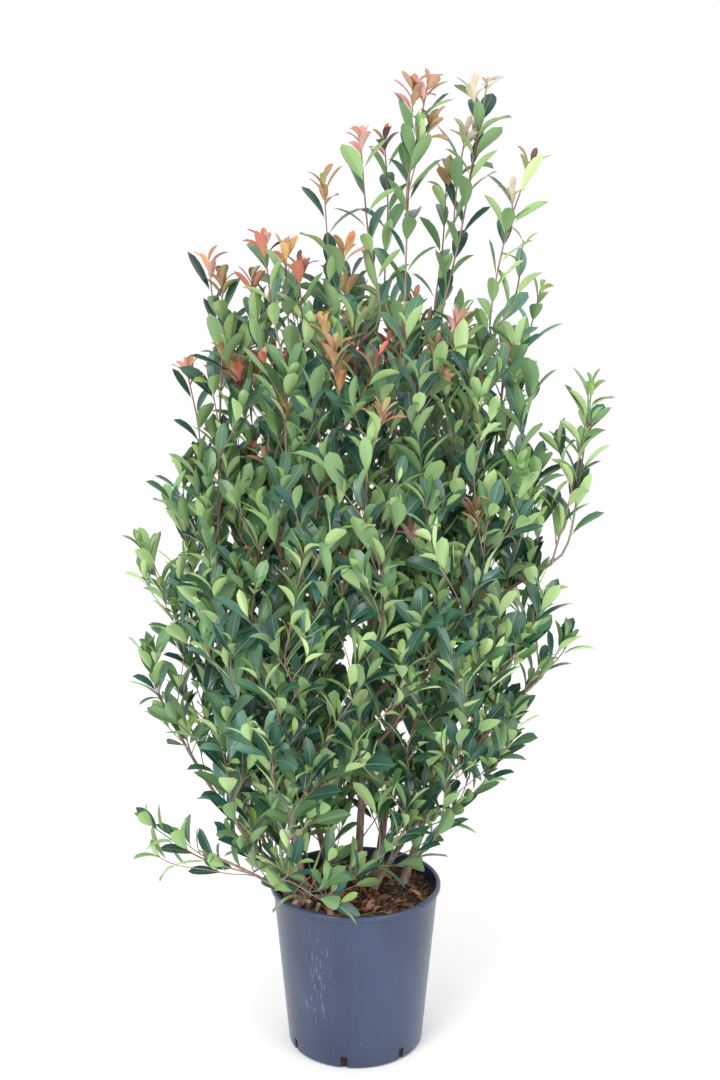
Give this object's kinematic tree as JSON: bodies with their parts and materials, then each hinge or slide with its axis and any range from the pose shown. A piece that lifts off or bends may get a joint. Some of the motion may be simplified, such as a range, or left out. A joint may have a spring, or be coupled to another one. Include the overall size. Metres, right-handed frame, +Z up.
{
  "type": "potted red tip photinia shrub",
  "caption": "Potted red tip photinia: a tall many-stemmed evergreen shrub with glossy green leaves and reddish young tips, in a round blue-grey nursery pot",
  "frame": {"origin": "centre of the pot's flat underside", "axes": "+Z is up along the plant's height, -Y is the side that the picture shows, +X is to the right in the picture"},
  "size_m": [0.8981, 0.6983, 1.9068],
  "materials": {
    "pot_plastic": "satin slate blue moulded plastic with pale water marks",
    "compost": "damp dark brown bark compost",
    "bark": "grey-brown bark with small pale pores",
    "young_bark": "reddish brown young bark",
    "green_leaves": "glossy dark green leaves, paler beneath",
    "red_leaves": "glossy bronze and red young leaves"
  },
  "bodies": {
    "root": {"pot": "pot_plastic", "compost": "compost", "stem_centre": "bark", "stem_centre_back": "bark", "stem_front_left": "bark", "stem_left": "bark", "stem_far_left": "bark", "stem_low_left": "bark", "stem_right": "bark", "stem_back_left": "bark", "stem_back_right": "bark", "bough_right": "young_bark", "bough_front_right": "young_bark", "bough_top": "young_bark", "bough_top_left": "young_bark", "bough_shoulder_left": "young_bark", "bough_front_left": "young_bark", "bough_left_upright": "young_bark", "bough_left_top": "young_bark", "bough_left_back": "young_bark", "bough_right_back": "young_bark", "bough_top_right": "young_bark", "bough_shoulder_right": "young_bark", "foliage_foot_front_left": "green_leaves", "foliage_low_right": "green_leaves", "foliage_low_back": "green_leaves", "foliage_low_left": "green_leaves", "foliage_lower_right": "green_leaves", "foliage_lower_back_right": "green_leaves", "foliage_lower_back_left": "green_leaves", "foliage_lower_left": "green_leaves", "foliage_lower_front_left": "green_leaves", "foliage_middle_right": "green_leaves", "foliage_middle_front_right": "green_leaves", "foliage_middle_back": "green_leaves", "foliage_middle_front_left": "green_leaves", "foliage_middle_left": "green_leaves", "foliage_upper_right": "green_leaves", "foliage_upper_back_right": "green_leaves", "foliage_upper_back_left": "green_leaves", "foliage_upper_left": "green_leaves", "foliage_upper_front": "green_leaves", "foliage_shoulder_right": "green_leaves", "foliage_shoulder_back": "green_leaves", "foliage_shoulder_front": "green_leaves", "foliage_shoulder_left": "green_leaves", "foliage_tip_left_of_centre": "red_leaves", "foliage_tip_slender_left": "green_leaves", "foliage_tip_centre_left": "red_leaves", "foliage_tip_centre": "red_leaves", "foliage_tip_centre_right": "green_leaves", "foliage_tip_right": "red_leaves", "foliage_tip_far_right": "green_leaves", "foliage_tip_far_left": "red_leaves", "foliage_tip_low_left": "red_leaves", "foliage_spray_right": "green_leaves", "foliage_spray_right_low": "green_leaves", "foliage_spray_left": "green_leaves", "foliage_spray_left_low": "green_leaves", "foliage_spray_lowest_left": "green_leaves"}
  },
  "joints": []
}
